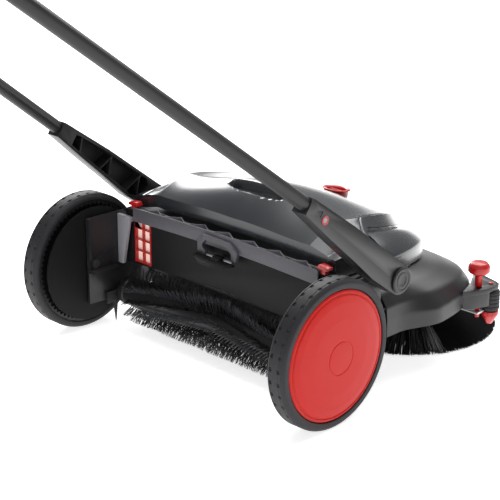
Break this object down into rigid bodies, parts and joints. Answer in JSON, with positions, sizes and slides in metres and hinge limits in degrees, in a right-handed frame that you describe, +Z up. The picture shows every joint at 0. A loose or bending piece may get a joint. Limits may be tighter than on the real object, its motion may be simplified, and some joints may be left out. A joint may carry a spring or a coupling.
{
  "type": "manual push sweeper",
  "caption": "Walk-behind push sweeper: roller brush between wheels, side brush, covers, open hopper bay and a U-shaped push handle on side arms.",
  "frame": {"origin": "on the floor below the middle of the whole machine's box, handle included", "axes": "+X the machine's right, +Y forward, away from the handle, +Z up"},
  "size_m": [0.6248, 1.381, 0.9756],
  "materials": {
    "housing": "fine moulded texture",
    "cover": "smooth satin gloss",
    "red": "satin red plastic",
    "tyre": "moulded dark grey tread with small notches",
    "rim": "matt",
    "bristle": "nylon bristle",
    "steel": "bright steel",
    "rubber": "soft black rubber",
    "grey": "matt grey plastic",
    "fleece": "pale filter fleece",
    "tube": "black painted tube"
  },
  "bodies": {
    "chassis": {"side_frame_left": "housing", "side_frame_right": "housing", "gear_shield_left": "housing", "gear_shield_right": "housing", "roller_bearing_left": "grey", "roller_bearing_right": "grey", "stub_axle_left": "steel", "stub_axle_right": "steel", "rear_crossbar": "grey", "hopper_stop_left": "grey", "hopper_stop_right": "grey", "bay_wall": "housing", "cover_deck": "housing", "filter_frame": "red", "filter_fleece": "fleece", "lever_pin": "steel", "roller_tunnel": "housing", "front_lip": "rubber", "side_lip_left": "rubber", "side_lip_right": "rubber", "top_cover": "cover", "nose_cover": "housing", "front_housing": "housing", "dial_bezel": "red", "corner_bracket": "housing", "guide_roller_bolt": "red", "drive_belt": "rubber", "drive_bracket": "housing", "pivot_bolt_left": "housing", "pivot_bolt_right": "housing"},
    "wheel_left": {"tyre_left": "tyre", "rim_left": "rim", "hub_cap_left": "red", "ring_gear_left": "housing", "wheel_bush_left": "grey"},
    "wheel_right": {"tyre_right": "tyre", "rim_right": "rim", "hub_cap_right": "red", "ring_gear_right": "housing", "wheel_bush_right": "grey"},
    "roller": {"roller_core": "housing", "roller_bristles": "bristle", "drive_pinion_right": "grey"},
    "pinion_left": {"drive_pinion_left": "grey"},
    "belt_input": {"belt_input_gear": "grey"},
    "belt_output": {"crown_pinion": "grey"},
    "crown": {"crown_gear": "grey"},
    "brush_lift": {"lift_plate": "steel"},
    "side_brush": {"side_brush_disc": "red", "side_brush_bristles": "bristle"},
    "adjuster": {"adjuster_knob": "red"},
    "corner_roller": {"guide_roller": "rubber"},
    "handle": {"handle_arm_left": "housing", "handle_arm_right": "housing", "handle_tube": "tube", "grip": "rubber"},
    "release_lever": {"hopper_lever": "housing"},
    "latch_left": {"cover_latch_left": "red"},
    "latch_right": {"cover_latch_right": "red"},
    "lock_dial": {"cover_lock_dial": "red"}
  },
  "joints": [
    {"name": "wheel_left_spin", "type": "hinge", "parent": "chassis", "child": "wheel_left", "pos_m": [-0.2865, 0.1235, 0.12], "axis": [1, 0, 0], "continuous": true},
    {"name": "wheel_right_spin", "type": "hinge", "parent": "chassis", "child": "wheel_right", "pos_m": [0.2865, 0.1235, 0.12], "axis": [1, 0, 0], "continuous": true},
    {"name": "roller_spin", "type": "hinge", "parent": "chassis", "child": "roller", "pos_m": [0, 0.18714, 0.05636], "axis": [1, 0, 0], "continuous": true},
    {"name": "pinion_left_spin", "type": "hinge", "parent": "chassis", "child": "pinion_left", "pos_m": [-0.276, 0.18714, 0.05636], "axis": [1, 0, 0], "continuous": true},
    {"name": "belt_input_spin", "type": "hinge", "parent": "chassis", "child": "belt_input", "pos_m": [0.24, 0.21264, 0.13243], "axis": [1, 0, 0], "continuous": true},
    {"name": "belt_output_spin", "type": "hinge", "parent": "chassis", "child": "belt_output", "pos_m": [0.17, 0.5275, 0.1], "axis": [1, 0, 0], "continuous": true},
    {"name": "crown_spin", "type": "hinge", "parent": "chassis", "child": "crown", "pos_m": [0.107, 0.5275, 0.112], "axis": [0, 0, 1], "continuous": true},
    {"name": "side_brush_lift", "type": "slide", "parent": "chassis", "child": "brush_lift", "axis": [0, 0, 1], "range_m": [0, 0.006]},
    {"name": "side_brush_spin", "type": "hinge", "parent": "brush_lift", "child": "side_brush", "pos_m": [0.107, 0.5275, 0.07], "axis": [0, 0, 1], "continuous": true},
    {"name": "adjuster_turn", "type": "hinge", "parent": "chassis", "child": "adjuster", "pos_m": [0.284, 0.4995, 0.13], "axis": [0, 0, 1], "range_deg": [0, 720]},
    {"name": "corner_roller_spin", "type": "hinge", "parent": "chassis", "child": "corner_roller", "pos_m": [0.291, 0.5255, 0.092], "axis": [0, 0, 1], "continuous": true},
    {"name": "handle_fold", "type": "hinge", "parent": "chassis", "child": "handle", "pos_m": [0, 0.2835, 0.195], "axis": [-1, 0, 0], "range_deg": [0, 100]},
    {"name": "release_lever_lift", "type": "hinge", "parent": "chassis", "child": "release_lever", "pos_m": [0, 0.175, 0.183], "axis": [-1, 0, 0], "range_deg": [0, 20], "stiffness_Nm_per_rad": 0.3},
    {"name": "latch_left_slide", "type": "slide", "parent": "chassis", "child": "latch_left", "axis": [1, 0, 0], "range_m": [0, 0.006], "stiffness_N_per_m": 150},
    {"name": "latch_right_slide", "type": "slide", "parent": "chassis", "child": "latch_right", "axis": [-1, 0, 0], "range_m": [0, 0.006], "stiffness_N_per_m": 150},
    {"name": "lock_dial_turn", "type": "hinge", "parent": "chassis", "child": "lock_dial", "pos_m": [0, 0.4605, 0.23182], "axis": [0, 0.1593, 0.9872], "range_deg": [0, 90]}
  ],
  "couplings": [
    {"joint": "roller_spin", "follows": "wheel_right_spin", "ratio": 8.5},
    {"joint": "belt_input_spin", "follows": "wheel_right_spin", "ratio": 8.5},
    {"joint": "belt_output_spin", "follows": "wheel_right_spin", "ratio": 8.5},
    {"joint": "crown_spin", "follows": "wheel_right_spin", "ratio": -2.8333},
    {"joint": "side_brush_spin", "follows": "wheel_right_spin", "ratio": -2.8333},
    {"joint": "pinion_left_spin", "follows": "wheel_left_spin", "ratio": 8.5},
    {"joint": "adjuster_turn", "follows": "side_brush_lift", "rad_per_m": 2094.4}
  ]
}
